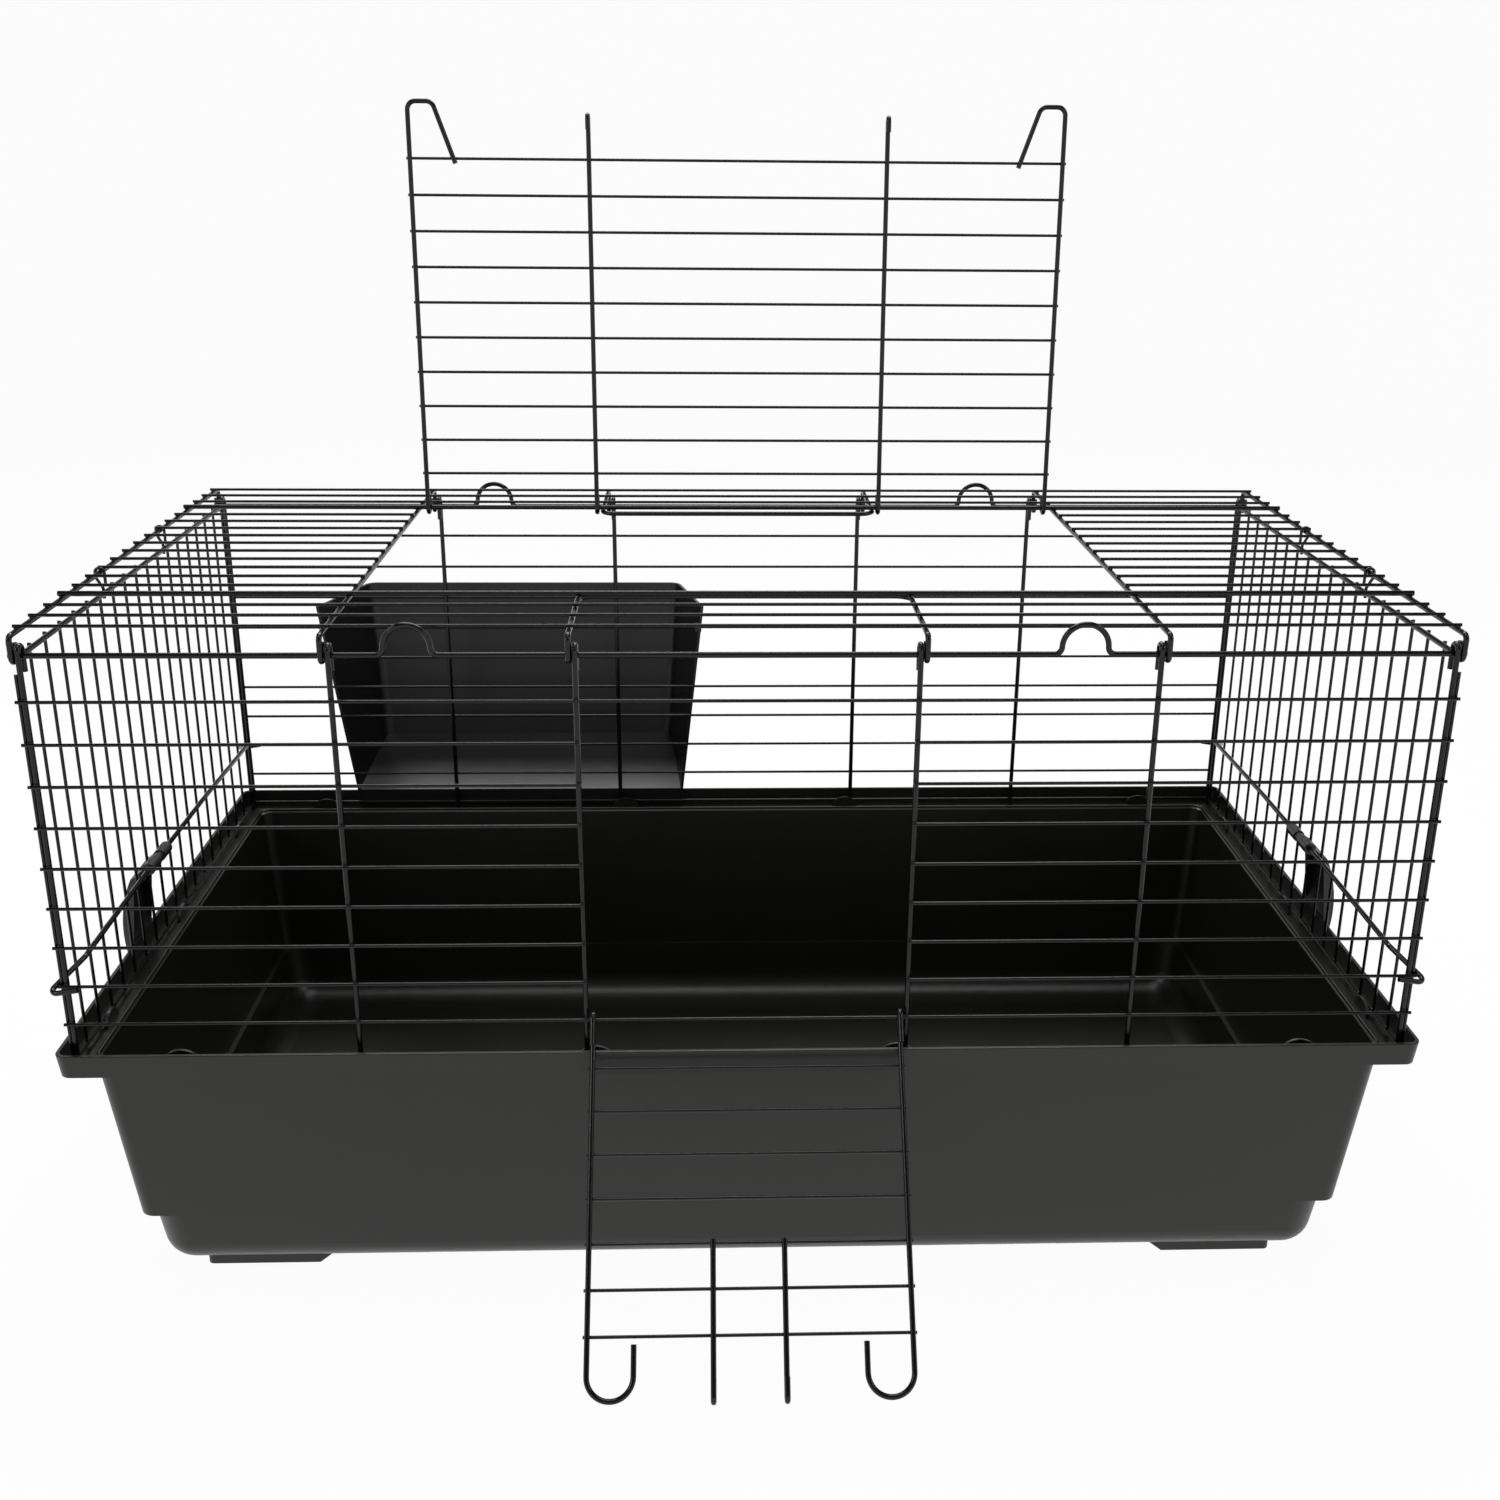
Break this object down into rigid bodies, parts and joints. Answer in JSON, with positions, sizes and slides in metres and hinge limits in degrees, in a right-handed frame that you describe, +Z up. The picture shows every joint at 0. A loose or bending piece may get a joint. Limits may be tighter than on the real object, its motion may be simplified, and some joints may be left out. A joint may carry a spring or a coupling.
{
  "type": "rabbit cage",
  "caption": "Long indoor rabbit cage: deep black tray, wire top with a fold-up roof lid, a fold-down ramp door, side latch clips and a hung hay rack.",
  "frame": {"origin": "middle of the tray's footprint on the floor", "axes": "+X along the cage, -Y towards the door side, +Z up"},
  "size_m": [1.0156, 0.7935, 0.876],
  "materials": {
    "black_rod": "glossy black enamel on steel rod",
    "tray_plastic": "moulded black plastic with a fine grain outside",
    "rack_plastic": "semi-gloss black moulded plastic",
    "clip_plastic": "semi-matte black moulded plastic"
  },
  "bodies": {
    "base": {"tray": "tray_plastic", "front_panel_posts": "black_rod", "front_panel_rails": "black_rod", "front_top_rail": "black_rod", "roof_front_u_rod": "black_rod", "rear_panel_posts": "black_rod", "rear_panel_rails": "black_rod", "rear_top_rail": "black_rod", "roof_rear_u_rod": "black_rod", "left_side_bars": "black_rod", "left_side_hooks": "black_rod", "left_side_rails": "black_rod", "left_tie_bar": "black_rod", "right_side_bars": "black_rod", "right_side_hooks": "black_rod", "right_side_rails": "black_rod", "right_tie_bar": "black_rod", "roof_long_rods": "black_rod", "roof_heavy_cross_rods": "black_rod", "roof_cross_rods": "black_rod"},
    "roof_lid": {"lid_side_rods": "black_rod", "lid_middle_rods": "black_rod", "lid_cross_rods": "black_rod"},
    "front_door": {"door_side_rods": "black_rod", "door_cross_rods": "black_rod", "door_hook_rods": "black_rod"},
    "left_latch": {"left_latch_clip": "clip_plastic"},
    "right_latch": {"right_latch_clip": "clip_plastic"},
    "hay_rack_body": {"hay_rack": "rack_plastic"}
  },
  "joints": [
    {"name": "lid_hinge", "type": "hinge", "parent": "base", "child": "roof_lid", "pos_m": [0, 0.1562, 0.53522], "axis": [1, 0, 0], "range_deg": [0, 91.2]},
    {"name": "door_hinge", "type": "hinge", "parent": "base", "child": "front_door", "pos_m": [0, -0.26002, 0.243], "axis": [-1, 0, 0], "range_deg": [0, 139]},
    {"name": "left_latch_hinge", "type": "hinge", "parent": "base", "child": "left_latch", "pos_m": [-0.481, 0, 0.2865], "axis": [0, 1, 0], "range_deg": [0, 75]},
    {"name": "right_latch_hinge", "type": "hinge", "parent": "base", "child": "right_latch", "pos_m": [0.481, 0, 0.2865], "axis": [0, -1, 0], "range_deg": [0, 75]},
    {"name": "rack_lift", "type": "slide", "parent": "base", "child": "hay_rack_body", "axis": [0, 0, 1], "range_m": [0, 0.016]}
  ]
}
